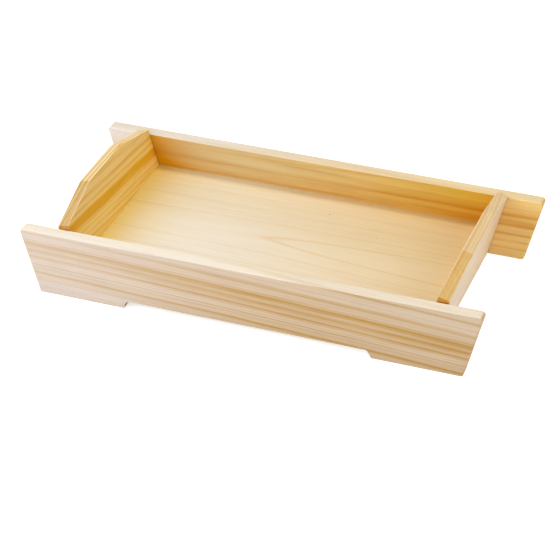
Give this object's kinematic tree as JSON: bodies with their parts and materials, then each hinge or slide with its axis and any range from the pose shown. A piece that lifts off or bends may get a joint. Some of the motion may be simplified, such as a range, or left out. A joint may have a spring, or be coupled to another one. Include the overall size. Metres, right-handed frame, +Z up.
{
  "type": "boat-shaped serving dish",
  "caption": "Long white-wood serving dish: raked side planks on low feet, outward-leaning end boards with raised crests, and a flat raised floor for food.",
  "frame": {"origin": "middle of the dish's footprint, on the surface that it stands on", "axes": "+X along the planks, +Y across the dish towards the back plank, +Z up"},
  "size_m": [0.3882, 0.186, 0.0749],
  "materials": {
    "side_plank": "planed bare softwood, pinkish cream with fine ochre grain lines",
    "end_board": "planed bare softwood, tan with ochre bands across the board",
    "floor_panel": "smooth planed bare softwood, pale yellow with faint arched grain",
    "dowel": "plain turned hardwood"
  },
  "bodies": {
    "root": {"front_side_plank": "side_plank", "back_side_plank": "side_plank", "left_end_board": "end_board", "right_end_board": "end_board", "floor_panel": "floor_panel", "left_front_lower_dowel": "dowel", "left_front_upper_dowel": "dowel", "left_back_lower_dowel": "dowel", "left_back_upper_dowel": "dowel", "right_front_lower_dowel": "dowel", "right_front_upper_dowel": "dowel", "right_back_lower_dowel": "dowel", "right_back_upper_dowel": "dowel"}
  },
  "joints": []
}
